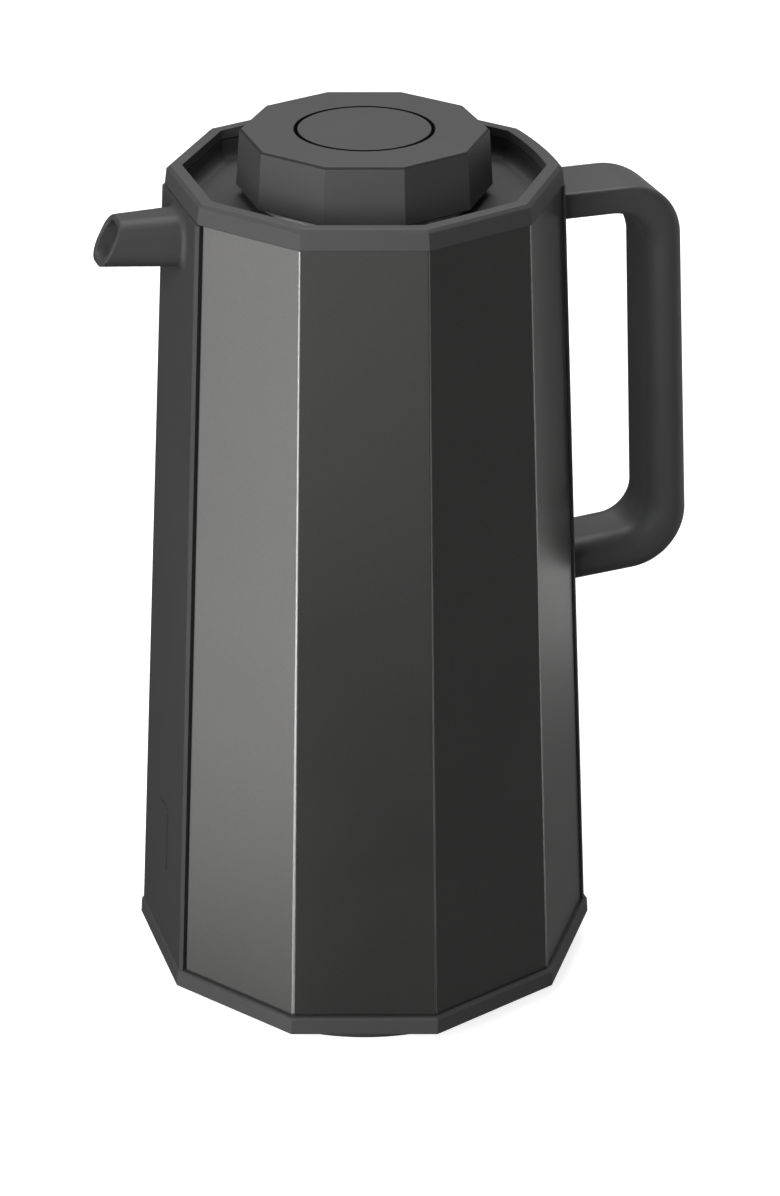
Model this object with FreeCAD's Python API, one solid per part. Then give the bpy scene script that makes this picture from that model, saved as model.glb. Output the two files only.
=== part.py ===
import FreeCAD, Part
import math
import os

from FreeCAD import Vector

os.makedirs("parts", exist_ok=True)

# Pour-type vacuum carafe, in millimetres.
# Z is up, the spout points to -X and the handle to +X. The origin is on the body axis, at the ground.

# Ten-sided body
SIDES = 10
SECTOR = 360.0 / SIDES
COS_HALF = math.cos(math.radians(SECTOR / 2))
SIN_HALF = math.sin(math.radians(SECTOR / 2))
BODY_LOW_Z = 13.0
BODY_HIGH_Z = 247.9
BODY_LOW_RADIUS = 68.0
BODY_HIGH_RADIUS = 55.67
PANEL_THICKNESS = 0.8
PANEL_EDGE_RADIUS = 1.6
PANEL_INSET = 1.8
STRIP_PROUD = 0.6
FRONT_STRIP_PROUD = 0.95
STRIP_DEPTH = 1.0
STRIP_WRAP = 1.2
REAR_BULGE = 1.2
INNER_BODY_GAP = 1.1
INNER_BODY_WALL = 1.8
MOULDED_EDGE = 0.4

# Foot and base ring
FOOT_RADIUS = 58.0
FOOT_EDGE = 1.2
FOOT_HEIGHT = 7.4
BASE_BOTTOM = 7.5
BASE_EDGE_Z = 12.4
BASE_LOW_RADIUS = 70.0
BASE_HIGH_RADIUS = 69.64
BASE_HOLE_RADIUS = 52.8
BASE_FLOOR_TOP = 10.2
CAP_BOSS_RADIUS = 52.4
CAP_LUG_RADIUS = 54.4
CAP_BOSS_TOP = 15.0
CAP_FLOOR_TOP = 5.0
BASE_SCREW_RADIUS = 58.5
BASE_SCREW_COUNT = 5
BASE_SCREW_TOP = 19.0
BASE_POST_RADIUS = 3.6
BASE_POST_TOP = 26.0
BASE_LEDGE = 1.0
CAP_LUG_COUNT = 3
CAP_LUG_DEGREES = 28
CAP_SLOT_DEGREES = 34
CAP_RECESS_RADIUS = 46.0
CAP_RECESS_TOP = 2.2
CAP_BAR_HALF_WIDTH = 5.0

# Rim and shoulder
RIM_TOP = 253.73
RIM_BEVEL_Z = 252.85
RIM_LOW_RADIUS = 56.07
RIM_BEVEL_RADIUS = 55.42
RIM_TOP_RADIUS = 54.3
RIM_SEAM_Z = 250.6
RIM_SEAM_GAP = 0.35
RIM_SKIRT_APOTHEM = 51.1
WELL_APOTHEM = 48.5
WELL_BULGE = 1.0
WELL_FILLET = 3.0
DECK_TOP = 245.3
DECK_BOTTOM = 243.1
FLANGE_HEIGHT = 2.6
SKIRT_BOTTOM = 239.5
SKIRT_WALL = 1.6
SKIRT_GAP_HALF_WIDTH = 13.0
SHOULDER_WALL_APOTHEM = 50.9
SHOULDER_FLANGE_APOTHEM = 51.6
SHOULDER_SKIRT_APOTHEM = 49.9
NECK_BORE_RADIUS = 28.2
NECK_TUBE_RADIUS = 30.4
NECK_SEAT_TOP = 212.6
NECK_SEAT_BOTTOM = 210.4
NECK_SEAT_RADIUS = 20.0
NECK_THREAD_RADIUS = 27.0

# Spout
SPOUT_TOP = 246.2
SPOUT_ROOT_X = -53.0
SPOUT_ROOT_WIDTH = 17.4
SPOUT_ROOT_BOTTOM = 231.3
SPOUT_END_X = -84.0
SPOUT_END_WIDTH = 13.6
SPOUT_END_BOTTOM = 234.0
SPOUT_CORNER = 5.4
SPOUT_ROOT_FILLET = 1.6
MOUTH_CENTRE_X = -74.9
MOUTH_CENTRE_Z = 239.5
MOUTH_SLOPE = 0.5235
SPOUT_LIP_ROUND = 0.5
SPOUT_WALL = 1.7
DUCT_INSET = 1.8
DUCT_WALL = 1.0
DUCT_START_X = -48.5
DUCT_MOUTH_SETBACK = 5.0

# Handle, as matching points on its outer and inner outlines
HANDLE_HALF_WIDTH = 11.8
HANDLE_TOP_Z = 242.7
HANDLE_TOP_UNDERSIDE_Z = 235.0
HANDLE_BOTTOM_Z = 117.3
HANDLE_BOTTOM_TOP_Z = 129.8
GRIP_OUTER_HIGH_X = 92.55
GRIP_OUTER_LOW_X = 100.8
GRIP_INNER_HIGH_X = 82.55
GRIP_INNER_LOW_X = 87.5
TOP_OUTER_BEND = 18.6
TOP_INNER_BEND = 13.0
LOW_OUTER_BEND = 18.0
LOW_INNER_BEND = 9.5
HANDLE_LOW_RISE = 2.4
BEND_STEPS = 8
HANDLE_CRISP_EDGE = 1.1
HANDLE_SOFT_EDGE = 6.2
HANDLE_ROUNDEST = 0.96
HANDLE_UPPER_ROOT_X = 50.0
HANDLE_LOWER_ROOT_X = 54.0
HANDLE_BORE_RADIUS = 1.6
HANDLE_BORE_END_X = 74.0
HANDLE_SCREW_HALF_SPACING = 5.0
HANDLE_UPPER_SCREW_Z = 238.9
HANDLE_LOWER_SCREW_Z = 123.8
HANDLE_SCREW_RADIUS = 1.5
HANDLE_SCREW_LENGTH = 15.0
HANDLE_SCREW_HEAD_RADIUS = 2.9
HANDLE_SCREW_HEAD_HEIGHT = 2.0
SKIN_BORE_RADIUS = 1.7

# Badge
BADGE_Z = 48.0
BADGE_HALF_WIDTH = 4.8
BADGE_HALF_HEIGHT = 10.5
BADGE_CORNER = 1.2
BADGE_THICKNESS = 0.4

# Glass liner
LINER_RADIUS = 51.0
GLASS = 1.6
LINER_BOTTOM = 22.0
LINER_KNUCKLE_Z = 50.0
LINER_SHOULDER_Z = 172.0
LINER_NECK_Z = 199.0
LINER_NECK_RADIUS = 24.8
LINER_LIP_Z = 206.0
LINER_MOUTH_Z = 208.0
LINER_MOUTH_RADIUS = 20.8
VACUUM_GAP = 1.8
TIP_BOTTOM = 14.0
PAD_RADIUS = 5.0
PAD_Z = 62.0
CUSHION_BORE_RADIUS = 12.0
CUSHION_RADIUS = 38.0
CUSHION_TOP = 31.0
NECK_COLLAR_WALL = 2.0

# Stopper
KNOB_BOTTOM = 247.88
KNOB_TOP = 264.47
KNOB_LOW_RADIUS = 36.0
KNOB_HIGH_RADIUS = 34.83
KNOB_BEVEL = 0.6
KNOB_WALL = 2.0
BUTTON_RADIUS = 18.7
BUTTON_HOLE_RADIUS = 19.7
BUTTON_EDGE = 0.18
BUTTON_SKIRT_BOTTOM = 256.5
PLUG_RADIUS = 25.2
PLUG_BORE_RADIUS = 23.0
PLUG_THREAD_RADIUS = 26.7
PLUG_FLANGE_RADIUS = 31.5
PLUG_FLANGE_BOTTOM = 247.6
PLUG_FLANGE_TOP = 250.0
PLUG_FLOOR_BOTTOM = 214.5
PLUG_FLOOR_TOP = 216.5
PLUG_WINDOW_LOW = 236.5
PLUG_WINDOW_HIGH = 242.5
VALVE_PORT_RADIUS = 9.0
STEM_RADIUS = 2.5
STEM_CLEARANCE = 0.08
STEM_BOTTOM = 209.7
SOCKET_RADIUS = 4.5
VALVE_DISC_RADIUS = 12.0
VALVE_SEAL_TOP = PLUG_FLOOR_BOTTOM - 0.05
VALVE_SEAL_BOTTOM = PLUG_FLOOR_BOTTOM - 1.6
VALVE_DISC_BOTTOM = PLUG_FLOOR_BOTTOM - 3.6
KNOB_SCREW_RADIUS = 28.6
SPRING_RADIUS = 7.5
SPRING_WIRE_RADIUS = 0.5
SPRING_TURNS = 5
WINDOW_COUNT = 6
THREAD_STARTS = 3
THREAD_RIB_HEIGHT = 2.6
NECK_RIB_BOTTOMS = (223.2, 230.2)
PLUG_RIB_BOTTOMS = (219.6, 226.6)
THREAD_LUG_DEGREES = 62.0
THREAD_TILT = 4.0


def body_radius(z):
    """Corner radius of the panels' outer faces at height z."""
    share = (z - BODY_LOW_Z) / (BODY_HIGH_Z - BODY_LOW_Z)
    return BODY_LOW_RADIUS + share * (BODY_HIGH_RADIUS - BODY_LOW_RADIUS)


def body_apothem(z):
    return body_radius(z) * COS_HALF


def corner(radius, angle, z):
    turn = math.radians(angle)
    return Vector(radius * math.cos(turn), radius * math.sin(turn), z)


def face_point(direction, apothem, along, z):
    """A point on the face that looks towards direction, along mm from its middle."""
    turn = math.radians(direction)
    normal = Vector(math.cos(turn), math.sin(turn), 0)
    tangent = Vector(-math.sin(turn), math.cos(turn), 0)
    return normal * apothem + tangent * along + Vector(0, 0, z)


def prism(lower, upper):
    """Closed solid between two matching flat outlines."""
    faces = [Part.Face(Part.makePolygon(lower + lower[:1]))]
    faces.append(Part.Face(Part.makePolygon(upper + upper[:1])))
    for i in range(len(lower)):
        j = (i + 1) % len(lower)
        faces.append(Part.Face(Part.makePolygon([lower[i], lower[j], upper[j], upper[i], lower[i]])))
    shell = Part.Shell(faces)
    shell.sewShape()
    solid = Part.Solid(shell)
    if solid.Volume < 0:
        solid.reverse()
    return solid


def decagon_points(apothem, z):
    radius = apothem / COS_HALF
    return [corner(radius, SECTOR / 2 + SECTOR * k, z) for k in range(SIDES)]


def decagon_prism(low_apothem, low_z, high_apothem, high_z):
    return prism(decagon_points(low_apothem, low_z), decagon_points(high_apothem, high_z))


def bulged_decagon(apothem, bulge, z):
    """Decagon outline whose handle-side face is an arc that stands out by bulge."""
    points = decagon_points(apothem, z)
    edges = [Part.Arc(points[-1], Vector(apothem + bulge, 0, z), points[0]).toShape()]
    for k in range(SIDES - 1):
        edges.append(Part.LineSegment(points[k], points[k + 1]).toShape())
    return Part.Wire(edges)


def bulged_stack(sections):
    """Solid through (apothem, bulge, z) outlines with straight sides."""
    wires = [bulged_decagon(*section) for section in sections]
    return Part.makeLoft(wires, True, True)


def ring(inner, outer, low, high):
    body = Part.makeCylinder(outer, high - low, Vector(0, 0, low))
    return body.cut(Part.makeCylinder(inner, high - low + 2, Vector(0, 0, low - 1)))


def disc(radius, low, high):
    return Part.makeCylinder(radius, high - low, Vector(0, 0, low))


def box(x_low, x_high, half_width, z_low, z_high):
    return Part.makeBox(x_high - x_low, 2 * half_width, z_high - z_low, Vector(x_low, -half_width, z_low))


def turned(shape, angle):
    copy = shape.copy()
    copy.rotate(Vector(0, 0, 0), Vector(0, 0, 1), angle)
    return copy


def spaced(shape, count, first=0.0):
    return [turned(shape, first + 360.0 * k / count) for k in range(count)]


def fused(shapes):
    return shapes[0].multiFuse(shapes[1:]).removeSplitter()


def revolved(points):
    outline = [Vector(x, 0, z) for x, z in points]
    face = Part.Face(Part.makePolygon(outline + outline[:1]))
    return face.revolve(Vector(0, 0, 0), Vector(0, 0, 1), 360)


def arc_lug(inner, outer, low, high, degrees, tilt=0.0):
    """Curved rib, its middle on the X axis, tilted like one turn of a coarse thread."""
    depth = 0.35 * (high - low)
    outline = [(inner, low), (outer, low + depth), (outer, high - depth), (inner, high)]
    if outer < inner:
        outline = outline[::-1]
    points = [Vector(x, 0, z) for x, z in outline]
    rib = Part.Face(Part.makePolygon(points + points[:1])).revolve(Vector(), Vector(0, 0, 1), degrees)
    rib.rotate(Vector(), Vector(0, 0, 1), -degrees / 2)
    rib.rotate(Vector(0, 0, (low + high) / 2), Vector(1, 0, 0), tilt)
    return rib


def rounded_rectangle(half_width, low, high, radius, x):
    """Rounded outline in the plane of constant x."""
    middle = (low + high) / 2
    return rounded_section(Vector(x, 0, middle), Vector(0, 0, 1), half_width, (high - low) / 2, radius)


def rounded_section(centre, up, half_width, half_height, radius):
    """Rounded rectangle, half_width along Y and half_height along up."""
    side = Vector(0, 1, 0)
    reach_y = half_width - radius
    reach_up = half_height - radius
    diagonal = radius * math.sqrt(0.5)
    edges = []
    signs = [(1, 1), (-1, 1), (-1, -1), (1, -1)]
    for k in range(4):
        sy, su = signs[k]
        pivot = centre + side * (sy * reach_y) + up * (su * reach_up)
        on_side = pivot + side * (sy * radius)
        on_top = pivot + up * (su * radius)
        halfway = pivot + side * (sy * diagonal) + up * (su * diagonal)
        start, end = (on_side, on_top) if k % 2 == 0 else (on_top, on_side)
        edges.append(Part.Arc(start, halfway, end).toShape())
        next_sy, next_su = signs[(k + 1) % 4]
        next_pivot = centre + side * (next_sy * reach_y) + up * (next_su * reach_up)
        step = up * (su * radius) if k % 2 == 0 else side * (sy * radius)
        edges.append(Part.LineSegment(end, next_pivot + step).toShape())
    return Part.Wire(edges)


def edges_near(shape, test):
    return [edge for edge in shape.Edges if test(edge)]


def softened(shape, beyond):
    """The shape with a small moulded round on its straight edges further than beyond from the axis."""
    def is_outside(edge):
        ends = edge.Vertexes
        return len(ends) == 2 and min(math.hypot(v.X, v.Y) for v in ends) > beyond

    return shape.makeFillet(MOULDED_EDGE, edges_near(shape, is_outside))


def folded_sheet(first, count, start, end, outer_offset, inner_offset):
    """Flat faces folded round the body's corners.

    start and end are each (side, distance): the sheet's edge lies that far from the corner at
    the low (-1) or high (1) side of the first and the last face.
    """
    sections = []
    for z in (BODY_LOW_Z, BODY_HIGH_Z):
        half = body_radius(z) * SIN_HALF
        points = []
        for offset in (outer_offset, inner_offset):
            apothem = body_apothem(z) + offset
            row = [face_point(first, apothem, start[0] * (half - start[1]), z)]
            for k in range(count - 1):
                row.append(corner(apothem / COS_HALF, first + SECTOR * (k + 0.5), z))
            last = first + SECTOR * (count - 1)
            row.append(face_point(last, apothem, end[0] * (half - end[1]), z))
            points += row if offset == outer_offset else row[::-1]
        sections.append(Part.makePolygon(points + points[:1]))
    return Part.makeLoft(sections, True, True)


def side_panel(first):
    """Metal skin over four faces, its folds softly rounded."""
    sheet = folded_sheet(first, 4, (-1, PANEL_INSET), (1, PANEL_INSET), 0.0, -PANEL_THICKNESS)

    def folds(shape, low_radius):
        found = []
        for edge in shape.Edges:
            ends = sorted([v.Point for v in edge.Vertexes], key=lambda p: p.z)
            upright = ends[-1].z - ends[0].z > 100
            if upright and abs(math.hypot(ends[0].x, ends[0].y) - low_radius) < 0.01:
                found.append(edge)
        return found

    sheet = sheet.makeFillet(PANEL_EDGE_RADIUS, folds(sheet, BODY_LOW_RADIUS))
    inner_radius = BODY_LOW_RADIUS - PANEL_THICKNESS / COS_HALF
    return sheet.makeFillet(PANEL_EDGE_RADIUS - PANEL_THICKNESS, folds(sheet, inner_radius))


def mouth_half_space(setback):
    """Big block beyond the slanting plane of the spout's mouth."""
    block = Part.makeBox(60, 80, 80, Vector(-60 + setback, -40, -40))
    block.rotate(Vector(), Vector(0, 1, 0), math.degrees(math.atan(MOUTH_SLOPE)))
    block.translate(Vector(MOUTH_CENTRE_X, 0, MOUTH_CENTRE_Z))
    return block


def spout_section(inset, x):
    """Outline of the spout at x, shrunk by inset; inside the body it stays as it is at the root."""
    share = max((SPOUT_ROOT_X - x) / (SPOUT_ROOT_X - SPOUT_END_X), 0)
    half_width = (SPOUT_ROOT_WIDTH + share * (SPOUT_END_WIDTH - SPOUT_ROOT_WIDTH)) / 2 - inset
    low = SPOUT_ROOT_BOTTOM + share * (SPOUT_END_BOTTOM - SPOUT_ROOT_BOTTOM) + inset
    return rounded_rectangle(half_width, low, SPOUT_TOP - inset, SPOUT_CORNER - inset, x)


def spout_solid(inset, x_low, x_high):
    """Solid that follows the spout's outline between two stations, shrunk by inset."""
    stations = [x_low, x_high]
    if x_low < SPOUT_ROOT_X < x_high:
        stations.insert(1, SPOUT_ROOT_X)
    return Part.makeLoft([spout_section(inset, x) for x in stations], True, True)


def spout_panel():
    """Front strip with the spout's outer shell moulded in."""
    strip = folded_sheet(144, 3, (1, STRIP_WRAP), (-1, STRIP_WRAP), FRONT_STRIP_PROUD, -STRIP_DEPTH)
    solid = fused([strip, spout_solid(0, SPOUT_END_X, SPOUT_ROOT_X)])

    def is_root(edge):
        bound = edge.BoundBox
        on_face = abs(bound.Center.x + body_apothem(bound.Center.z) + FRONT_STRIP_PROUD) < 0.1
        return on_face and bound.ZMin > SPOUT_ROOT_BOTTOM - 1 and bound.ZMax < SPOUT_TOP + 0.1

    solid = solid.makeFillet(SPOUT_ROOT_FILLET, edges_near(solid, is_root))
    solid = solid.cut(mouth_half_space(0)).cut(spout_solid(SPOUT_WALL, SPOUT_END_X - 1, -40))

    def is_lip(edge):
        bound = edge.BoundBox
        beyond = bound.Center.x - MOUTH_CENTRE_X + MOUTH_SLOPE * (bound.Center.z - MOUTH_CENTRE_Z)
        on_plane = abs(beyond) < 0.9
        return on_plane and bound.XMax < SPOUT_ROOT_X - 12 and bound.XLength < 7

    return solid.makeFillet(SPOUT_LIP_ROUND, edges_near(solid, is_lip))


def pour_duct():
    """Inner pouring tube; it ends a little way inside the spout's shell."""
    tube = spout_solid(DUCT_INSET, SPOUT_END_X, DUCT_START_X)
    tube = tube.cut(spout_solid(DUCT_INSET + DUCT_WALL, SPOUT_END_X - 1, DUCT_START_X + 1))
    return tube.cut(mouth_half_space(DUCT_MOUTH_SETBACK))


def duct_gasket():
    """Seal in the socket where the tube meets the shoulder's inlet."""
    end = DUCT_START_X + 1.5
    outside = spout_solid(DUCT_INSET + 0.1, DUCT_START_X, end)
    return outside.cut(spout_solid(DUCT_INSET + DUCT_WALL, DUCT_START_X - 1, end + 1))


def rear_panel():
    """Rear strip with a gently rounded back, bored for the handle's screws."""
    wires = []
    for z in (BODY_LOW_Z, BODY_HIGH_Z):
        half = body_radius(z) * SIN_HALF
        outer = body_apothem(z) + STRIP_PROUD
        inner = body_apothem(z) - STRIP_DEPTH
        low_corner = corner(outer / COS_HALF, -SECTOR / 2, z)
        high_corner = corner(outer / COS_HALF, SECTOR / 2, z)
        points = [face_point(SECTOR, outer, -half + STRIP_WRAP, z)]
        points.append(face_point(SECTOR, inner, -half + STRIP_WRAP, z))
        points.append(corner(inner / COS_HALF, SECTOR / 2, z))
        points.append(corner(inner / COS_HALF, -SECTOR / 2, z))
        points.append(face_point(-SECTOR, inner, half - STRIP_WRAP, z))
        points.append(face_point(-SECTOR, outer, half - STRIP_WRAP, z))
        outline = [high_corner] + points + [low_corner]
        edges = [Part.LineSegment(a, b).toShape() for a, b in zip(outline, outline[1:])]
        crown = Vector(outer + REAR_BULGE, 0, z)
        edges.append(Part.Arc(low_corner, crown, high_corner).toShape())
        wires.append(Part.Wire(edges))
    panel = Part.makeLoft(wires, True, True)
    return panel.cut(Part.makeCompound(handle_bores(SKIN_BORE_RADIUS, 40, 68)))


def handle_bores(radius, x_low, x_high):
    bores = []
    for z in (HANDLE_UPPER_SCREW_Z, HANDLE_LOWER_SCREW_Z):
        for side in (-1, 1):
            start = Vector(x_low, side * HANDLE_SCREW_HALF_SPACING, z)
            bores.append(Part.makeCylinder(radius, x_high - x_low, start, Vector(1, 0, 0)))
    return bores


def bend_centre(corner_point, before, after, radius):
    """Centre of the arc that rounds a corner, and the unit normals where it starts and ends."""
    a = (before - corner_point).normalize()
    b = (after - corner_point).normalize()
    half_angle = a.getAngle(b) / 2
    centre = corner_point + (a + b).normalize() * (radius / math.sin(half_angle))
    start_normal = (corner_point + a * (radius / math.tan(half_angle)) - centre).normalize()
    end_normal = (corner_point + b * (radius / math.tan(half_angle)) - centre).normalize()
    return centre, start_normal, end_normal


def arc_points(corner_point, before, after, radius, steps):
    centre, start_normal, end_normal = bend_centre(corner_point, before, after, radius)
    sweep = start_normal.getAngle(end_normal)
    points = []
    for k in range(steps + 1):
        share = k / steps
        first = math.sin((1 - share) * sweep) / math.sin(sweep)
        second = math.sin(share * sweep) / math.sin(sweep)
        points.append(centre + (start_normal * first + end_normal * second) * radius)
    return points


def handle_side(heights, grip_x, bends):
    """One outline of the handle: root, upper bend's points, lower bend's points, lower root."""
    upper_root = Vector(HANDLE_UPPER_ROOT_X, 0, heights[0])
    upper_corner = Vector(grip_x[0], 0, heights[0])
    lower_corner = Vector(grip_x[1], 0, heights[1] + HANDLE_LOW_RISE)
    lower_root = Vector(HANDLE_LOWER_ROOT_X, 0, heights[1])
    upper_bend = arc_points(upper_corner, upper_root, lower_corner, bends[0], BEND_STEPS)
    lower_bend = arc_points(lower_corner, upper_corner, lower_root, bends[1], BEND_STEPS)
    return [upper_root] + upper_bend + lower_bend + [lower_root]


def handle():
    """Closed-loop grip: crisp edges on the upper arm that soften round the bend."""
    outer_heights = (HANDLE_TOP_Z, HANDLE_BOTTOM_Z)
    inner_heights = (HANDLE_TOP_UNDERSIDE_Z, HANDLE_BOTTOM_TOP_Z)
    outer_grip = (GRIP_OUTER_HIGH_X, GRIP_OUTER_LOW_X)
    inner_grip = (GRIP_INNER_HIGH_X, GRIP_INNER_LOW_X)
    outer = handle_side(outer_heights, outer_grip, (TOP_OUTER_BEND, LOW_OUTER_BEND))
    inner = handle_side(inner_heights, inner_grip, (TOP_INNER_BEND, LOW_INNER_BEND))
    sections = []
    for k, (far, near) in enumerate(zip(outer, inner)):
        softness = min(max((k - 1) / BEND_STEPS, 0), 1)
        half_height = (far - near).Length / 2
        soft_edge = min(HANDLE_SOFT_EDGE, HANDLE_ROUNDEST * half_height)
        radius = HANDLE_CRISP_EDGE + (soft_edge - HANDLE_CRISP_EDGE) * softness
        up = (far - near).normalize()
        middle = (far + near) * 0.5
        sections.append(rounded_section(middle, up, HANDLE_HALF_WIDTH, half_height, radius))
    upper_end = 1 + BEND_STEPS
    lower_start = upper_end + 1
    lower_end = lower_start + BEND_STEPS
    spans = [
        Part.makeLoft(sections[:2], True, True),
        Part.makeLoft(sections[1:upper_end + 1], True, False),
        Part.makeLoft(sections[upper_end:lower_start + 1], True, True),
        Part.makeLoft(sections[lower_start:lower_end + 1], True, False),
        Part.makeLoft(sections[lower_end:], True, True),
    ]
    solid = spans[0].multiFuse(spans[1:])
    levels = (BODY_LOW_Z, BODY_HIGH_Z)
    solid = solid.cut(bulged_stack([(body_apothem(z) + STRIP_PROUD, REAR_BULGE, z) for z in levels]))
    return solid.cut(Part.makeCompound(handle_bores(HANDLE_BORE_RADIUS, 40, HANDLE_BORE_END_X)))


def handle_screws():
    """Four screws from inside the casing, their heads against its wall."""
    screws = []
    for z in (HANDLE_UPPER_SCREW_Z, HANDLE_LOWER_SCREW_Z):
        seat = body_apothem(z) - INNER_BODY_GAP - INNER_BODY_WALL
        for side in (-1, 1):
            start = Vector(seat, side * HANDLE_SCREW_HALF_SPACING, z)
            head_start = start - Vector(HANDLE_SCREW_HEAD_HEIGHT + 0.3, 0, 0)
            length = HANDLE_SCREW_LENGTH + HANDLE_SCREW_HEAD_HEIGHT
            shank = Part.makeCylinder(HANDLE_SCREW_RADIUS, length, head_start, Vector(1, 0, 0))
            head = Part.makeCylinder(
                HANDLE_SCREW_HEAD_RADIUS, HANDLE_SCREW_HEAD_HEIGHT, head_start, Vector(1, 0, 0))
            screws.append(fused([shank, head]))
    return Part.makeCompound(screws)


def inner_body():
    """Moulded inner casing that the skins, the handle and the base are fixed to."""
    low, high = BASE_FLOOR_TOP, DECK_BOTTOM
    outside = [body_apothem(z) - INNER_BODY_GAP for z in (low, high)]
    shell = decagon_prism(outside[0], low, outside[1], high)
    bore = decagon_prism(outside[0] - INNER_BODY_WALL, low, outside[1] - INNER_BODY_WALL, high)
    shell = shell.cut(bore)
    post = disc(BASE_POST_RADIUS, low, BASE_POST_TOP).cut(disc(1.5, low - 1, BASE_SCREW_TOP + 1))
    post.translate(Vector(BASE_SCREW_RADIUS, 0, 0))
    shell = fused([shell] + spaced(post, BASE_SCREW_COUNT, SECTOR))
    shell = shell.cut(spout_solid(DUCT_INSET - 0.3, -64, -40))
    return shell.cut(Part.makeCompound(handle_bores(SKIN_BORE_RADIUS, 40, 68)))


def base_ring():
    """Ten-sided foot moulding with a bevelled upper edge and a ledge for the skins."""
    wall = decagon_prism(BASE_LOW_RADIUS * COS_HALF, BASE_BOTTOM, BASE_HIGH_RADIUS * COS_HALF, BASE_EDGE_Z)
    top = BODY_LOW_Z - 0.05
    top_apothem = body_apothem(BODY_LOW_Z) + BASE_LEDGE
    bevel = decagon_prism(BASE_HIGH_RADIUS * COS_HALF, BASE_EDGE_Z, top_apothem, top)
    hollow = body_apothem(BODY_LOW_Z) - INNER_BODY_GAP + 0.25
    solid = softened(fused([wall, bevel]), BASE_HIGH_RADIUS - 1)
    solid = solid.cut(decagon_prism(hollow, BASE_FLOOR_TOP, hollow, BODY_LOW_Z + 1))
    solid = solid.cut(disc(BASE_HOLE_RADIUS, 0, 30))
    slot_inner = BASE_HOLE_RADIUS - 2
    slot_outer = CAP_LUG_RADIUS + 0.4
    slot = arc_lug(slot_inner, slot_outer, -10, 30, CAP_SLOT_DEGREES)
    slot = slot.common(ring(slot_inner, slot_outer, BASE_BOTTOM - 1, BASE_FLOOR_TOP + 1))
    solid = solid.cut(Part.makeCompound(spaced(slot, CAP_LUG_COUNT, 60)))
    hole = Part.makeCylinder(1.6, 20, Vector(BASE_SCREW_RADIUS, 0, 0))
    sink = Part.makeCylinder(3.0, 1.6, Vector(BASE_SCREW_RADIUS, 0, BASE_BOTTOM))
    holes = spaced(hole, BASE_SCREW_COUNT, SECTOR) + spaced(sink, BASE_SCREW_COUNT, SECTOR)
    return solid.cut(Part.makeCompound(holes))


def base_screws():
    """Slotted screws, sunk into the base ring's underside."""
    head = disc(2.7, BASE_BOTTOM + 0.1, BASE_BOTTOM + 1.55)
    slot = box(-3, 3, 0.4, BASE_BOTTOM, BASE_BOTTOM + 0.8)
    screw = fused([head.cut(slot), disc(1.4, BASE_BOTTOM + 1.0, BASE_SCREW_TOP)])
    screw.translate(Vector(BASE_SCREW_RADIUS, 0, 0))
    return Part.makeCompound(spaced(screw, BASE_SCREW_COUNT, SECTOR))


def bottom_cap():
    """Round cap that the carafe stands on; it turns in by three lugs and holds the liner up."""
    plate = disc(FOOT_RADIUS, 0, FOOT_HEIGHT)
    plate = plate.makeFillet(FOOT_EDGE, edges_near(plate, lambda e: e.BoundBox.ZMax < 0.1))
    boss = disc(CAP_BOSS_RADIUS, FOOT_HEIGHT - 1, CAP_BOSS_TOP)
    lug_low = BASE_FLOOR_TOP + 0.3
    lug = arc_lug(CAP_BOSS_RADIUS - 1, CAP_LUG_RADIUS, lug_low, lug_low + 3, CAP_LUG_DEGREES)
    solid = fused([plate, boss] + spaced(lug, CAP_LUG_COUNT))
    solid = solid.cut(disc(CAP_BOSS_RADIUS - 3, CAP_FLOOR_TOP, 20))
    bar = box(-CAP_RECESS_RADIUS, CAP_RECESS_RADIUS, CAP_BAR_HALF_WIDTH, -2, 5)
    recess = disc(CAP_RECESS_RADIUS, -1, CAP_RECESS_TOP).cut(bar)
    return solid.cut(recess)


def quarter_ellipse(end_a, end_b, centre):
    """Arc between the ends of an ellipse's two half axes."""
    major, minor = sorted((end_a, end_b), key=lambda end: -end.distanceToPoint(centre))
    return Part.Ellipse(major, minor, centre).toShape(0, math.pi / 2)


def flask_envelope(shrink):
    """Outside of the vacuum flask, or of a smaller one inside it, as a solid of revolution."""
    radius = LINER_RADIUS - shrink
    neck = LINER_NECK_RADIUS - shrink
    bottom = LINER_BOTTOM + shrink
    crown = LINER_NECK_Z - shrink
    belly = disc(radius, LINER_KNUCKLE_Z, LINER_SHOULDER_Z)
    low_centre = Vector(0, 0, LINER_KNUCKLE_Z)
    low_arc = quarter_ellipse(Vector(radius, 0, LINER_KNUCKLE_Z), Vector(0, 0, bottom), low_centre)
    low_face = Part.Face(Part.Wire([
        low_arc,
        Part.LineSegment(Vector(0, 0, bottom), low_centre).toShape(),
        Part.LineSegment(low_centre, Vector(radius, 0, LINER_KNUCKLE_Z)).toShape(),
    ]))
    high_centre = Vector(neck, 0, LINER_SHOULDER_Z)
    high_arc = quarter_ellipse(Vector(radius, 0, LINER_SHOULDER_Z), Vector(neck, 0, crown), high_centre)
    axis_low = Vector(0, 0, LINER_SHOULDER_Z)
    axis_high = Vector(0, 0, LINER_MOUTH_Z)
    high_face = Part.Face(Part.Wire([
        high_arc,
        Part.LineSegment(Vector(radius, 0, LINER_SHOULDER_Z), axis_low).toShape(),
        Part.LineSegment(axis_low, axis_high).toShape(),
        Part.LineSegment(axis_high, Vector(neck, 0, LINER_MOUTH_Z)).toShape(),
        Part.LineSegment(Vector(neck, 0, LINER_MOUTH_Z), Vector(neck, 0, crown)).toShape(),
    ]))
    ends = [face.revolve(Vector(), Vector(0, 0, 1), 360) for face in (low_face, high_face)]
    return fused([belly] + ends)


def above(z):
    return disc(100, z, z + 300)


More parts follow.
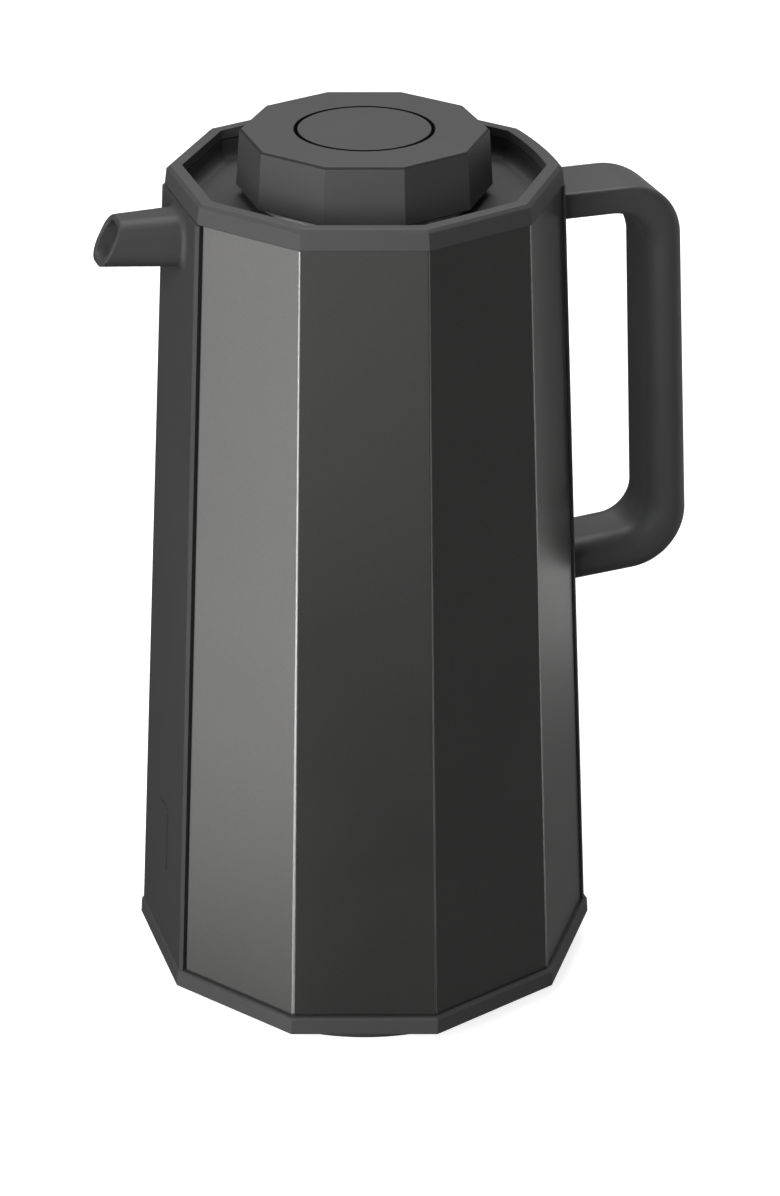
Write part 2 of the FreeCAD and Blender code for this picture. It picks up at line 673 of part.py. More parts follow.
def liner_outer_flask():
    """Silvered outer wall of the flask, with the sealed-off pumping tip below."""
    flask = flask_envelope(0).cut(flask_envelope(GLASS)).cut(above(LINER_LIP_Z))
    root = LINER_BOTTOM + 0.6
    tip = revolved([(0, TIP_BOTTOM), (1.6, TIP_BOTTOM + 1), (3.2, TIP_BOTTOM + 5), (4.4, root), (0, root)])
    return fused([flask, tip])


def liner_inner_flask():
    """Inner wall of the flask; its rolled lip closes the vacuum gap at the mouth."""
    gap = GLASS + VACUUM_GAP
    flask = flask_envelope(gap).cut(flask_envelope(gap + GLASS)).cut(above(LINER_LIP_Z))
    mouth = LINER_NECK_RADIUS - gap - GLASS
    lip = ring(mouth, LINER_NECK_RADIUS, LINER_LIP_Z, LINER_MOUTH_Z)
    lip = lip.makeFillet(0.8, edges_near(lip, lambda e: e.BoundBox.ZMin > LINER_MOUTH_Z - 0.1))
    return fused([flask, lip])


def liner_spacers():
    """Three small pads that keep the two walls apart."""
    pads = []
    for angle in (60, 180, 300):
        pad = Part.makeCylinder(PAD_RADIUS, 30, Vector(30, 0, PAD_Z), Vector(1, 0, 0))
        pad = pad.common(flask_envelope(GLASS + 0.02)).cut(flask_envelope(GLASS + VACUUM_GAP - 0.02))
        pads.append(turned(pad, angle))
    return Part.makeCompound(pads)


def liner_cushion():
    """Rubber seat under the flask, shaped to its domed end."""
    block = ring(CUSHION_BORE_RADIUS, CUSHION_RADIUS, CAP_FLOOR_TOP, CUSHION_TOP)
    return block.cut(flask_envelope(-0.02))


def neck_gasket():
    """Rubber collar between the flask's mouth and the shoulder."""
    outside = LINER_NECK_RADIUS + NECK_COLLAR_WALL
    top = ring(LINER_MOUTH_RADIUS - 0.6, outside, LINER_MOUTH_Z, NECK_SEAT_BOTTOM)
    return fused([top, ring(LINER_NECK_RADIUS, outside, LINER_LIP_Z - 3, LINER_MOUTH_Z + 0.1)])


def well_cutter():
    """Space of the sunken top: the deck's edge is a soft concave round."""
    wires = [bulged_decagon(WELL_APOTHEM, WELL_BULGE, z) for z in (DECK_TOP, RIM_TOP + 2)]
    well = Part.makeLoft(wires, True, True)
    return well.makeFillet(WELL_FILLET, edges_near(well, lambda e: e.BoundBox.ZMax < DECK_TOP + 0.1))


def thread_ribs(root_radius, crest_radius, bottoms):
    """Tilted ribs of a coarse thread, three starts, one row at each height in bottoms."""
    ribs = []
    for low in bottoms:
        high = low + THREAD_RIB_HEIGHT
        rib = arc_lug(root_radius, crest_radius, low, high, THREAD_LUG_DEGREES, THREAD_TILT)
        ribs += spaced(rib, THREAD_STARTS, 60)
    return ribs


def shoulder():
    """Sunken deck, threaded neck and duct inlet, moulded in one."""
    wall = bulged_stack([(SHOULDER_WALL_APOTHEM, WELL_BULGE, z) for z in (DECK_BOTTOM, RIM_SEAM_Z)])
    flange_top = DECK_BOTTOM + FLANGE_HEIGHT
    flange = decagon_prism(SHOULDER_FLANGE_APOTHEM, DECK_BOTTOM, SHOULDER_FLANGE_APOTHEM, flange_top)
    solid = fused([wall, flange]).cut(well_cutter())
    bore_apothem = SHOULDER_SKIRT_APOTHEM - SKIRT_WALL
    skirt = decagon_prism(SHOULDER_SKIRT_APOTHEM, SKIRT_BOTTOM, SHOULDER_SKIRT_APOTHEM, DECK_BOTTOM)
    skirt = skirt.cut(decagon_prism(bore_apothem, SKIRT_BOTTOM - 1, bore_apothem, DECK_BOTTOM))
    skirt = skirt.cut(box(-60, 60, SKIRT_GAP_HALF_WIDTH, SKIRT_BOTTOM - 1, DECK_BOTTOM))
    tube = disc(NECK_TUBE_RADIUS, NECK_SEAT_BOTTOM, DECK_TOP)
    inlet = spout_solid(DUCT_INSET, DUCT_START_X + 1.5, -NECK_BORE_RADIUS)
    solid = fused([solid, skirt, tube, inlet])
    solid = solid.cut(disc(NECK_BORE_RADIUS, NECK_SEAT_TOP, DECK_TOP + 1))
    solid = solid.cut(disc(NECK_SEAT_RADIUS, NECK_SEAT_BOTTOM - 1, NECK_SEAT_TOP + 1))
    solid = solid.cut(spout_solid(DUCT_INSET + DUCT_WALL, DUCT_START_X, -NECK_BORE_RADIUS + 3))
    solid = solid.cut(spout_solid(DUCT_INSET - 0.05, -60, DUCT_START_X + 1.5))
    return fused([solid] + thread_ribs(NECK_BORE_RADIUS + 0.6, NECK_THREAD_RADIUS, NECK_RIB_BOTTOMS))


def rim_ring():
    """Bevelled ring that caps the skins and forms the well's upper lip."""
    low_apothem = RIM_LOW_RADIUS * COS_HALF
    outside = bulged_stack([
        (low_apothem, REAR_BULGE, BODY_HIGH_Z),
        (RIM_BEVEL_RADIUS * COS_HALF, REAR_BULGE, RIM_BEVEL_Z),
        (RIM_TOP_RADIUS * COS_HALF, REAR_BULGE, RIM_TOP),
    ])
    under = bulged_stack([
        (RIM_SKIRT_APOTHEM, WELL_BULGE, BODY_HIGH_Z - 1),
        (RIM_SKIRT_APOTHEM, WELL_BULGE, RIM_SEAM_Z + RIM_SEAM_GAP),
    ])
    well = bulged_stack([(WELL_APOTHEM, WELL_BULGE, BODY_HIGH_Z), (WELL_APOTHEM, WELL_BULGE, RIM_TOP + 1)])
    return softened(outside.cut(under).cut(well), RIM_TOP_RADIUS - 0.5)


def stopper_knob():
    """Ten-sided cap that the hand turns; hollow, with a guide ring for the button."""
    bevel_z = KNOB_TOP - KNOB_BEVEL
    bevel_radius = KNOB_HIGH_RADIUS + 0.04
    solid = fused([
        decagon_prism(KNOB_LOW_RADIUS * COS_HALF, KNOB_BOTTOM, bevel_radius * COS_HALF, bevel_z),
        decagon_prism(bevel_radius * COS_HALF, bevel_z, (bevel_radius - KNOB_BEVEL) * COS_HALF, KNOB_TOP),
    ])
    solid = softened(solid, KNOB_HIGH_RADIUS - 1)
    ceiling = KNOB_TOP - KNOB_WALL
    inside = [radius * COS_HALF - KNOB_WALL for radius in (KNOB_LOW_RADIUS, bevel_radius)]
    solid = solid.cut(decagon_prism(inside[0], KNOB_BOTTOM - 0.01, inside[1], ceiling))
    guide = disc(BUTTON_HOLE_RADIUS + 1.5, BUTTON_SKIRT_BOTTOM - 3, ceiling)
    boss = disc(2.9, PLUG_FLANGE_TOP, ceiling)
    boss.translate(Vector(KNOB_SCREW_RADIUS, 0, 0))
    solid = fused([solid, guide] + spaced(boss, 3))
    hole = Part.makeCylinder(1.3, 9, Vector(KNOB_SCREW_RADIUS, 0, PLUG_FLANGE_TOP - 1))
    solid = solid.cut(Part.makeCompound(spaced(hole, 3)))
    solid = solid.cut(disc(BUTTON_HOLE_RADIUS, KNOB_BOTTOM, KNOB_TOP + 1))
    return solid.makeFillet(BUTTON_EDGE, edges_near(solid, is_round_top_edge))


def is_round_top_edge(edge):
    """True for the closed circles round the button and its hole, at the top."""
    bound = edge.BoundBox
    return len(edge.Vertexes) == 1 and bound.ZLength < 0.01 and bound.ZMin > KNOB_TOP - 0.1


def knob_screws():
    """Countersunk screws that hold the knob on the plug, their heads under the gasket."""
    head_top = PLUG_FLANGE_BOTTOM + 1.5
    head = Part.makeCone(2.4, 1.2, 1.4, Vector(0, 0, PLUG_FLANGE_BOTTOM + 0.1))
    screw = fused([head, disc(1.2, head_top - 0.2, PLUG_FLANGE_TOP + 7)])
    screw.translate(Vector(KNOB_SCREW_RADIUS, 0, 0))
    return Part.makeCompound(spaced(screw, 3))


def push_button():
    """Round button, flush with the knob, with a guide skirt and a stem socket."""
    cap = disc(BUTTON_RADIUS, BUTTON_SKIRT_BOTTOM, KNOB_TOP)
    cap = cap.cut(disc(BUTTON_RADIUS - 1.6, BUTTON_SKIRT_BOTTOM - 1, KNOB_TOP - 2))
    socket = disc(SOCKET_RADIUS, BUTTON_SKIRT_BOTTOM + 1, KNOB_TOP - 1)
    solid = fused([cap, socket]).cut(disc(STEM_RADIUS, BUTTON_SKIRT_BOTTOM, KNOB_TOP - 3))
    return solid.makeFillet(BUTTON_EDGE, edges_near(solid, is_round_top_edge))


def valve_stem():
    return disc(STEM_RADIUS, STEM_BOTTOM, KNOB_TOP - 3)


def return_spring():
    """Coil spring between the plug's lid and the button."""
    low = PLUG_FLANGE_TOP + SPRING_WIRE_RADIUS + 0.05
    high = KNOB_TOP - 2 - SPRING_WIRE_RADIUS - 0.05
    pitch = (high - low) / SPRING_TURNS
    helix = Part.makeHelix(pitch, high - low, SPRING_RADIUS)
    circle = Part.makeCircle(SPRING_WIRE_RADIUS, Vector(SPRING_RADIUS, 0, 0), Vector(0, 1, 0))
    coil = Part.Wire(helix.Edges).makePipeShell([Part.Wire(circle)], True, True)
    coil.translate(Vector(0, 0, low))
    return coil


def plug_body():
    """Hollow plug with its thread ribs, side windows, stem guide and valve port."""
    solid = fused([
        disc(PLUG_FLANGE_RADIUS, PLUG_FLANGE_BOTTOM, PLUG_FLANGE_TOP),
        ring(PLUG_BORE_RADIUS, PLUG_RADIUS, PLUG_FLOOR_BOTTOM, PLUG_FLANGE_TOP),
        disc(PLUG_RADIUS, PLUG_FLOOR_BOTTOM, PLUG_FLOOR_TOP),
        ring(14, NECK_SEAT_RADIUS + 0.3, NECK_SEAT_TOP + 0.2, PLUG_FLOOR_BOTTOM + 0.5),
        disc(6, PLUG_FLANGE_BOTTOM - 4, PLUG_FLANGE_TOP + 3),
    ])
    solid = solid.cut(disc(VALVE_PORT_RADIUS, PLUG_FLOOR_BOTTOM - 3, PLUG_FLOOR_TOP + 1))
    solid = solid.cut(disc(STEM_RADIUS + STEM_CLEARANCE, 240, 260))
    solid = solid.cut(disc(5, PLUG_FLANGE_TOP, 260))
    window = box(20, 28, 5, PLUG_WINDOW_LOW, PLUG_WINDOW_HIGH)
    solid = solid.cut(Part.makeCompound(spaced(window, WINDOW_COUNT)))
    hole = Part.makeCylinder(1.3, 9, Vector(KNOB_SCREW_RADIUS, 0, PLUG_FLANGE_BOTTOM - 1))
    sink = Part.makeCone(2.6, 1.3, 1.5, Vector(KNOB_SCREW_RADIUS, 0, PLUG_FLANGE_BOTTOM))
    solid = solid.cut(Part.makeCompound(spaced(hole, 3) + spaced(sink, 3)))
    return fused([solid] + thread_ribs(PLUG_RADIUS - 0.6, PLUG_THREAD_RADIUS, PLUG_RIB_BOTTOMS))


def stopper_seat_gasket():
    """Ring that the plug presses down on the seat inside the neck."""
    return ring(NECK_SEAT_RADIUS + 0.6, PLUG_RADIUS - 0.2, NECK_SEAT_TOP + 0.05, PLUG_FLOOR_BOTTOM - 0.05)


def stopper_lid_gasket():
    """Ring between the plug's flange and the deck."""
    return ring(PLUG_RADIUS + 0.6, PLUG_FLANGE_RADIUS - 0.1, DECK_TOP + 0.05, PLUG_FLANGE_BOTTOM)


def badge():
    """Plain raised plate low on the front strip."""
    run = body_apothem(BODY_LOW_Z) - body_apothem(BODY_HIGH_Z)
    slope = math.degrees(math.atan(run / (BODY_HIGH_Z - BODY_LOW_Z)))
    up = Vector(0, 0, 1)
    plate = rounded_section(Vector(), up, BADGE_HALF_WIDTH, BADGE_HALF_HEIGHT, BADGE_CORNER)
    solid = Part.Face(plate).extrude(Vector(-BADGE_THICKNESS, 0, 0))
    solid.rotate(Vector(), Vector(0, 1, 0), slope)
    solid.translate(Vector(-(body_apothem(BADGE_Z) + FRONT_STRIP_PROUD), 0, BADGE_Z))
    return solid


def build_all():
    parts = {
        "left_side_panel": side_panel(-144),
        "right_side_panel": side_panel(36),
        "spout_panel": spout_panel(),
        "rear_panel": rear_panel(),
        "blank_badge": badge(),
        "handle": handle(),
        "handle_screws": handle_screws(),
        "inner_body": inner_body(),
        "base_ring": base_ring(),
        "base_screws": base_screws(),
        "bottom_cap": bottom_cap(),
        "shoulder": shoulder(),
        "rim_ring": rim_ring(),
        "pour_duct": pour_duct(),
        "duct_gasket": duct_gasket(),
        "liner_outer_flask": liner_outer_flask(),
        "liner_inner_flask": liner_inner_flask(),
        "liner_spacers": liner_spacers(),
        "liner_cushion": liner_cushion(),
        "neck_gasket": neck_gasket(),
        "stopper_seat_gasket": stopper_seat_gasket(),
        "stopper_knob": stopper_knob(),
        "knob_screws": knob_screws(),
        "plug_body": plug_body(),
        "stopper_lid_gasket": stopper_lid_gasket(),
        "stem_seal": ring(STEM_RADIUS + STEM_CLEARANCE, 5, PLUG_FLANGE_TOP, PLUG_FLANGE_TOP + 2.5),
        "push_button": push_button(),
        "return_spring": return_spring(),
        "valve_stem": valve_stem(),
        "valve_seal": ring(STEM_RADIUS, VALVE_DISC_RADIUS + 0.5, VALVE_SEAL_BOTTOM, VALVE_SEAL_TOP),
        "valve_disc": ring(STEM_RADIUS, VALVE_DISC_RADIUS, VALVE_DISC_BOTTOM, VALVE_SEAL_BOTTOM),
        "valve_clip": ring(STEM_RADIUS, SOCKET_RADIUS, VALVE_DISC_BOTTOM - 1, VALVE_DISC_BOTTOM),
    }
    for name, shape in parts.items():
        shape.exportStep("parts/" + name + ".step")
        print(name, len(shape.Solids), round(shape.Volume / 1000, 2), shape.isValid())


build_all()
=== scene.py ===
import math

import bpy
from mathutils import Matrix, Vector


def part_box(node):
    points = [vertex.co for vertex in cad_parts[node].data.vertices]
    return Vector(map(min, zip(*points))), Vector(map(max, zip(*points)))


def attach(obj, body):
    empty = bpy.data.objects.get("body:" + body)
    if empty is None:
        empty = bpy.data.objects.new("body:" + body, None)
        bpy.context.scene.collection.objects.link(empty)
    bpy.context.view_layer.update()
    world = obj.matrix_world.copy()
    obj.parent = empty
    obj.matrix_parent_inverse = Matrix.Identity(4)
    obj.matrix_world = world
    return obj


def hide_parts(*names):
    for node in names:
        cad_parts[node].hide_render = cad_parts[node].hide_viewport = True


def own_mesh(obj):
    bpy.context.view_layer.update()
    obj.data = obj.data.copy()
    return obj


# Vacuum carafe: materials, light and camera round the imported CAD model. Metres, +Z up.

MM = 0.001

# Camera: the view of the reference, fitted to the body's corners
CAMERA_AZIMUTH = -18.0
CAMERA_ELEVATION = 25.47
CAMERA_DISTANCE = 0.9155
CAMERA_TARGET = Vector((0.0, 0.0, 0.1475))
LENS = 93.67
SHIFT_X = 0.0214
SHIFT_Y = -0.0753

# Sizes that the lid's painted shade and the spring share with the CAD model
BUTTON_GAP_SHADE_RADII = (18.2 * MM, 20.2 * MM)
KNOB_BEVEL_SHADE_RADIUS = 30 * MM
SPRING_WIRE_RADIUS = 0.5 * MM
SPRING_TURNS = 5

# Grain and colour that most mouldings share
CHARCOAL = (0.048, 0.048, 0.049)
GRAIN_SIZE = 0.28 * MM
GRAIN_HEIGHT = 0.02 * MM
SATIN = 0.52
SATIN_SPREAD = 0.05
COLOUR_SPREAD = 0.05

# The lights stand round the light table's middle, apart from the two that aim at the camera's target
TABLE_CENTRE = Vector((0.0, 0.0, 0.12))


def direction(azimuth, elevation):
    """Unit vector from the object towards a viewer; azimuth 0 stands at -Y, 90 at +X."""
    a, e = math.radians(azimuth), math.radians(elevation)
    return Vector((math.sin(a) * math.cos(e), -math.cos(a) * math.cos(e), math.sin(e)))


# ---------------------------------------------------------------- node helpers


class Shader:
    """A new material with its Principled shader and a few shortcuts for its node tree."""

    def __init__(self, name, **constants):
        self.material = bpy.data.materials.new(name)
        self.material.use_nodes = True
        self.nodes = self.material.node_tree.nodes
        self.links = self.material.node_tree.links
        self.principled = self.nodes["Principled BSDF"]
        for socket, value in constants.items():
            self.principled.inputs[socket.replace("_", " ")].default_value = value
        self.place = self.nodes.new("ShaderNodeTexCoord").outputs["Object"]

    def stretched(self, scale):
        mapping = self.nodes.new("ShaderNodeMapping")
        mapping.inputs["Scale"].default_value = scale
        self.links.new(self.place, mapping.inputs["Vector"])
        return mapping.outputs["Vector"]

    def noise(self, size, detail=2.0, roughness=0.5, place=None):
        """Noise whose features are about size metres across."""
        node = self.nodes.new("ShaderNodeTexNoise")
        node.inputs["Scale"].default_value = 1.0 / size
        node.inputs["Detail"].default_value = detail
        node.inputs["Roughness"].default_value = roughness
        self.links.new(place or self.place, node.inputs["Vector"])
        return node.outputs["Fac"]

    def cells(self, size):
        node = self.nodes.new("ShaderNodeTexVoronoi")
        node.inputs["Scale"].default_value = 1.0 / size
        self.links.new(self.place, node.inputs["Vector"])
        return node.outputs["Color"]

    def value_range(self, source, low, high, from_low=0.3, from_high=0.7):
        node = self.nodes.new("ShaderNodeMapRange")
        node.inputs["From Min"].default_value = from_low
        node.inputs["From Max"].default_value = from_high
        node.inputs["To Min"].default_value = low
        node.inputs["To Max"].default_value = high
        self.links.new(source, node.inputs["Value"])
        return node.outputs["Result"]

    def ramp(self, source, low_colour, high_colour, low=0.3, high=0.7):
        node = self.nodes.new("ShaderNodeValToRGB")
        node.color_ramp.elements[0].position = low
        node.color_ramp.elements[0].color = (*low_colour, 1)
        node.color_ramp.elements[1].position = high
        node.color_ramp.elements[1].color = (*high_colour, 1)
        self.links.new(source, node.inputs["Fac"])
        return node.outputs["Color"]

    def bump(self, height, strength, distance, under=None):
        node = self.nodes.new("ShaderNodeBump")
        node.inputs["Strength"].default_value = strength
        node.inputs["Distance"].default_value = distance
        self.links.new(height, node.inputs["Height"])
        if under:
            self.links.new(under, node.inputs["Normal"])
        return node.outputs["Normal"]

    def math(self, operation, a, b):
        node = self.nodes.new("ShaderNodeMath")
        node.operation = operation
        for socket, value in zip(node.inputs, (a, b)):
            if isinstance(value, float):
                socket.default_value = value
            else:
                self.links.new(value, socket)
        return node.outputs["Value"]

    def radius(self):
        """Distance from the carafe's axis, in metres."""
        split = self.nodes.new("ShaderNodeSeparateXYZ")
        self.links.new(self.place, split.inputs["Vector"])
        squares = [self.math("MULTIPLY", split.outputs[k], split.outputs[k]) for k in (0, 1)]
        return self.math("POWER", self.math("ADD", *squares), 0.5)

    def upward(self):
        """How far the surface faces up: 1 on a top, 0 on a wall."""
        geometry = self.nodes.new("ShaderNodeNewGeometry")
        split = self.nodes.new("ShaderNodeSeparateXYZ")
        self.links.new(geometry.outputs["Normal"], split.inputs["Vector"])
        return split.outputs["Z"]

    def between(self, source, low, high):
        above = self.math("GREATER_THAN", source, low)
        return self.math("MULTIPLY", above, self.math("LESS_THAN", source, high))

    def drive(self, socket, source):
        self.links.new(source, self.principled.inputs[socket])


def around(colour, share):
    """The colour a little darker and a little lighter."""
    return tuple(c * (1 - share) for c in colour), tuple(c * (1 + share) for c in colour)


def toned(share):
    """The charcoal, this much lighter or darker."""
    return tuple(share * c for c in CHARCOAL)


# ---------------------------------------------------------------- materials


def moulding(name, colour, roughness, grain_size, specular):
    """Shader with fine spark-eroded grain, and its drifting colour and satin roughness, not yet linked."""
    shader = Shader(name, Specular_IOR_Level=specular)
    drift = shader.noise(38 * MM, detail=3)
    grain = shader.noise(grain_size, detail=3, roughness=0.6)
    tint = shader.ramp(drift, *around(colour, COLOUR_SPREAD))
    satin = shader.value_range(grain, roughness - SATIN_SPREAD, roughness + SATIN_SPREAD)
    swell = shader.bump(shader.noise(9 * MM, detail=1), 0.10, GRAIN_HEIGHT)
    shader.drive("Normal", shader.bump(grain, 0.35, GRAIN_HEIGHT, swell))
    return shader, tint, satin


def moulded_plastic(name, colour, roughness, grain_size=GRAIN_SIZE, specular=0.5):
    shader, tint, satin = moulding(name, colour, roughness, grain_size, specular)
    shader.drive("Base Color", tint)
    shader.drive("Roughness", satin)
    return shader.material


def lid_plastic_painted_shade():
    """Charcoal plastic with painted shade: the button's narrow gap is painted dark as shade and made
    rougher, and the knob's bevel is painted dark as a dark reflection.
    """
    shader, tint, satin = moulding("charcoal_lid_plastic", CHARCOAL, SATIN, GRAIN_SIZE, 0.35)
    radius, upward = shader.radius(), shader.upward()
    # painted shade: the walls of the narrow gap round the button are darkened
    in_gap = shader.between(radius, *BUTTON_GAP_SHADE_RADII)
    gap_shade_mask = shader.math("MULTIPLY", in_gap, shader.between(upward, -0.7, 0.9))
    # painted dark reflection on the knob's sloping top bevel
    on_knob_edge = shader.math("GREATER_THAN", radius, KNOB_BEVEL_SHADE_RADIUS)
    bevel_shade_mask = shader.math("MULTIPLY", on_knob_edge, shader.between(upward, 0.4, 0.9))
    gap_shade_loss, bevel_shade_loss = shader.math("MULTIPLY", gap_shade_mask, 0.93), shader.math("MULTIPLY", bevel_shade_mask, 0.6)
    unshaded_share = shader.math("SUBTRACT", 1.0, shader.math("ADD", gap_shade_loss, bevel_shade_loss))
    painted_shade_colour = shader.nodes.new("ShaderNodeVectorMath")
    painted_shade_colour.operation = "SCALE"
    shader.links.new(tint, painted_shade_colour.inputs[0])
    shader.links.new(unshaded_share, painted_shade_colour.inputs["Scale"])
    shader.drive("Base Color", painted_shade_colour.outputs["Vector"])
    shader.drive("Roughness", shader.math("ADD", satin, shader.math("MULTIPLY", gap_shade_mask, 0.4)))
    return shader.material


def metallic_skin():
    """Dark satin coating on steel with fine flakes."""
    shader = Shader("satin_steel_skin", Metallic=1.0)
    flakes = shader.cells(0.16 * MM)
    grey = (0.163, 0.162, 0.1585)
    shader.drive("Base Color", shader.ramp(flakes, *around(grey, 0.08), low=0.1, high=0.9))
    haze = shader.noise(30 * MM, detail=3)
    shader.drive("Roughness", shader.value_range(haze, 0.29, 0.32))
    peel = shader.bump(shader.noise(0.9 * MM, detail=2), 0.15, 0.006 * MM)
    shader.drive("Normal", shader.bump(flakes, 0.10, 0.006 * MM, peel))
    return shader.material


def silvered_glass(name, colour):
    """Mirror layer seen through clear glass, with faint blown ripples."""
    shader = Shader(name, Metallic=1.0, Coat_Weight=1.0, Coat_Roughness=0.02)
    drift = shader.noise(24 * MM, detail=2)
    shader.drive("Base Color", shader.ramp(drift, *around(colour, 0.04)))
    shader.drive("Roughness", shader.value_range(drift, 0.03, 0.07))
    shader.drive("Normal", shader.bump(drift, 0.25, 0.25 * MM))
    return shader.material


def rubber(name, colour, roughness):
    """Soft moulded rubber or silicone with a dusty bloom."""
    shader = Shader(name, Specular_IOR_Level=0.35, Sheen_Weight=0.08, Sheen_Roughness=0.5)
    drift = shader.noise(6 * MM, detail=4)
    shader.drive("Base Color", shader.ramp(drift, *around(colour, 0.08)))
    shader.drive("Roughness", shader.value_range(drift, roughness - 0.06, roughness + 0.06))
    shader.drive("Normal", shader.bump(shader.noise(0.35 * MM, detail=3), 0.3, 0.03 * MM))
    return shader.material


def drawn_steel():
    """Bright wire and screw steel with fine marks along the turning."""
    shader = Shader("drawn_steel", Metallic=1.0, Anisotropic=0.4)
    marks = shader.noise(0.4 * MM, detail=3, place=shader.stretched((1, 1, 12)))
    shader.drive("Base Color", shader.ramp(marks, (0.50, 0.50, 0.49), (0.62, 0.62, 0.61)))
    shader.drive("Roughness", shader.value_range(marks, 0.22, 0.34))
    shader.drive("Normal", shader.bump(marks, 0.2, 0.01 * MM))
    return shader.material


def felt():
    shader = Shader("felt_pad", Specular_IOR_Level=0.1, Roughness=0.95, Sheen_Weight=0.4)
    fibres = shader.noise(0.5 * MM, detail=5, roughness=0.7)
    shader.drive("Base Color", shader.ramp(fibres, (0.42, 0.39, 0.34), (0.62, 0.59, 0.53)))
    shader.drive("Normal", shader.bump(fibres, 0.8, 0.15 * MM))
    return shader.material


def dress_nodes():
    """Gives every CAD node its finish; the lid's gap and bevel and the shoulder's well also get painted
    shade.
    """
    finishes = {
        metallic_skin(): ("left_side_panel", "right_side_panel"),
        moulded_plastic("charcoal_plastic", CHARCOAL, SATIN, specular=0.35): (
            "rear_panel", "rim_ring", "base_ring", "bottom_cap",
        ),
        moulded_plastic("charcoal_grip_plastic", toned(1.15), 0.50, grain_size=0.34 * MM, specular=0.4): (
            "handle",
        ),
        # painted shade: the shoulder is a darker copy of the charcoal, for the shade in the recessed well
        moulded_plastic("charcoal_well_plastic_painted_shade", toned(0.75), 0.55, specular=0.3): ("shoulder",),
        moulded_plastic("charcoal_strip_plastic", toned(0.82), 0.55, specular=0.3): (
            "spout_panel", "blank_badge",
        ),
        # the knob and button carry painted shade in the button gap and on the bevel
        lid_plastic_painted_shade(): ("stopper_knob", "push_button"),
        moulded_plastic("casing_plastic", (0.018, 0.018, 0.018), 0.60): ("inner_body",),
        moulded_plastic("duct_plastic", (0.012, 0.012, 0.012), 0.60, specular=0.2): ("pour_duct",),
        moulded_plastic("plug_plastic", (0.045, 0.045, 0.047), 0.42): ("plug_body",),
        moulded_plastic("valve_plastic", (0.62, 0.62, 0.60), 0.38): ("valve_stem", "valve_disc"),
        silvered_glass("silvered_outer_glass", (0.86, 0.86, 0.87)): ("liner_outer_flask",),
        silvered_glass("silvered_inner_glass", (0.80, 0.81, 0.83)): ("liner_inner_flask",),
        rubber("clear_silicone", (0.55, 0.55, 0.54), 0.45): (
            "duct_gasket", "neck_gasket", "stem_seal",
            "stopper_seat_gasket", "stopper_lid_gasket", "valve_seal",
        ),
        rubber("black_rubber", (0.020, 0.020, 0.020), 0.70): ("liner_cushion",),
        drawn_steel(): ("handle_screws", "base_screws", "knob_screws", "return_spring", "valve_clip"),
        felt(): ("liner_spacers",),
    }
    for material, names in finishes.items():
        for name in names:
            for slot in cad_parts[name].material_slots:
                slot.material = material


# ---------------------------------------------------------------- spring


def return_coil():
    """The coil under the button, built as its own piece on the stopper."""
    low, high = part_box("return_spring")
    per_turn, sides = 40, 12
    steps = SPRING_TURNS * per_turn
    radius = (high[0] - low[0]) / 2 - SPRING_WIRE_RADIUS
    rise = high[2] - low[2] - 2 * SPRING_WIRE_RADIUS
    up = Vector((0, 0, 1))
    points, faces = [], []
    for i in range(steps + 1):
        angle = math.tau * i / per_turn
        out = Vector((math.cos(angle), math.sin(angle), 0))
        centre = out * radius + up * (low[2] + SPRING_WIRE_RADIUS + rise * i / steps)
        for k in range(sides):
            turned = math.tau * k / sides
            points.append(centre + SPRING_WIRE_RADIUS * (out * math.cos(turned) + up * math.sin(turned)))
    for i in range(0, steps * sides, sides):
        for k in range(sides):
            after = (k + 1) % sides
            faces.append((i + k, i + k + sides, i + after + sides, i + after))
    faces.append(tuple(range(sides)))
    faces.append(tuple(reversed(range(len(points) - sides, len(points)))))
    mesh = bpy.data.meshes.new("return_coil")
    mesh.from_pydata(points, [], faces)
    mesh.shade_smooth()
    mesh.materials.append(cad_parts["return_spring"].material_slots[0].material)
    coil = bpy.data.objects.new("return_coil", mesh)
    bpy.context.scene.collection.objects.link(coil)
    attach(coil, "stopper")
    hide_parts("return_spring")
    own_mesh(coil)


# ---------------------------------------------------------------- stage


def floor():
    """Pale floor that glows like a light table and isn't mirrored in the skins."""
    shader = Shader("pale_floor", Roughness=0.9, Specular_IOR_Level=0.1, Emission_Strength=0.8)
    shader.principled.inputs["Emission Color"].default_value = (1, 1, 1, 1)
    drift = shader.noise(0.5, detail=2)
    shader.drive("Base Color", shader.ramp(drift, (0.64, 0.64, 0.64), (0.66, 0.66, 0.66)))
    bpy.ops.mesh.primitive_plane_add(size=12.0)
    plane = bpy.context.object
    plane.name = "floor"
    plane.data.materials.append(shader.material)
    plane.visible_glossy = False
    plane.visible_shadow = False
    plane.visible_diffuse = False


def soft_box(
        name, azimuth, elevation, distance, width, height, radiance,
        aim=CAMERA_TARGET, gloss=True, matte=True):
    """Rectangular studio light that faces the carafe; radiance 1 is paper white."""
    data = bpy.data.lights.new(name, "AREA")
    data.shape = "RECTANGLE"
    data.size, data.size_y = width, height
    data.energy = radiance * math.pi * width * height
    lamp = bpy.data.objects.new(name, data)
    away = direction(azimuth, elevation)
    lamp.location = aim + away * distance
    lamp.rotation_mode = "QUATERNION"
    lamp.rotation_quaternion = away.to_track_quat("Z", "Y")
    lamp.visible_glossy = gloss
    lamp.visible_diffuse = matte
    bpy.context.scene.collection.objects.link(lamp)


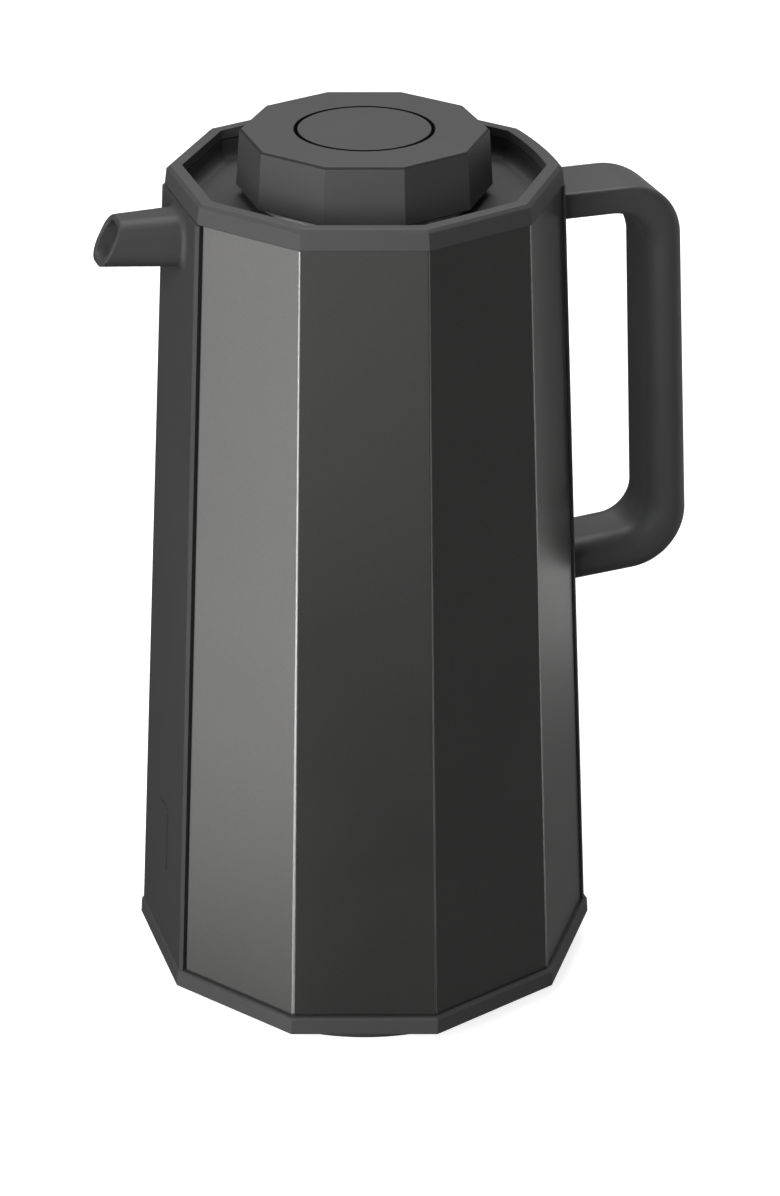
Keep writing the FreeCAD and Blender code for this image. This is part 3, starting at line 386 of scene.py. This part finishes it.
def studio():
    """Soft grey surroundings and the soft boxes."""
    world = bpy.data.worlds.new("studio")
    world.use_nodes = True
    background = world.node_tree.nodes["Background"]
    background.inputs["Color"].default_value = (1, 1, 1, 1)
    background.inputs["Strength"].default_value = 0.13
    bpy.context.scene.world = world
    back = CAMERA_AZIMUTH + 180
    soft_box("overhead", back, 64, 1.3, 1.0, 1.0, 4.5)
    soft_box("front_fill", -48, 22, 0.75, 0.5, 0.5, 9.5, gloss=False)
    soft_box("front_low", CAMERA_AZIMUTH, -3, 1.1, 0.35, 0.50, 0.36, TABLE_CENTRE, matte=False)
    soft_box("left_key", -85, -7, 0.75, 0.34, 0.68, 1.40, TABLE_CENTRE, matte=False)
    soft_box("left_edge", -54, -12, 0.75, 0.13, 0.80, 12.0, TABLE_CENTRE, matte=False)
    soft_box("front_edge", 18, -12, 0.75, 0.05, 0.80, 2.6, TABLE_CENTRE, matte=False)
    soft_box("right_back", 124, 0, 0.8, 0.72, 0.80, 0.48, TABLE_CENTRE)
    soft_box("right_edge", 88, -12, 0.8, 0.08, 0.8, 3.5, TABLE_CENTRE, matte=False)


def camera():
    """The camera that the proportions were fitted with."""
    data = bpy.data.cameras.new("camera")
    data.lens = LENS
    data.sensor_width = 36.0
    data.shift_x, data.shift_y = SHIFT_X, SHIFT_Y
    data.clip_start, data.clip_end = 0.05, 30
    viewer = bpy.data.objects.new("camera", data)
    away = direction(CAMERA_AZIMUTH, CAMERA_ELEVATION)
    viewer.location = CAMERA_TARGET + away * CAMERA_DISTANCE
    viewer.rotation_mode = "QUATERNION"
    viewer.rotation_quaternion = away.to_track_quat("Z", "Y")
    bpy.context.scene.collection.objects.link(viewer)
    bpy.context.scene.camera = viewer
    bpy.context.scene.view_settings.view_transform = "Standard"


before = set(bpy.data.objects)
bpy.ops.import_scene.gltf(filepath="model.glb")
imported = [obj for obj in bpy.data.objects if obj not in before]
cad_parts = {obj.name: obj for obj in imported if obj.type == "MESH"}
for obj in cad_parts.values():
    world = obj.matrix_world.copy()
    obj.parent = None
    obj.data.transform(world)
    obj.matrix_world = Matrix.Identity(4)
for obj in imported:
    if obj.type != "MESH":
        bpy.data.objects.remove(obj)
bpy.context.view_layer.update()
dress_nodes()
return_coil()
floor()
studio()
camera()
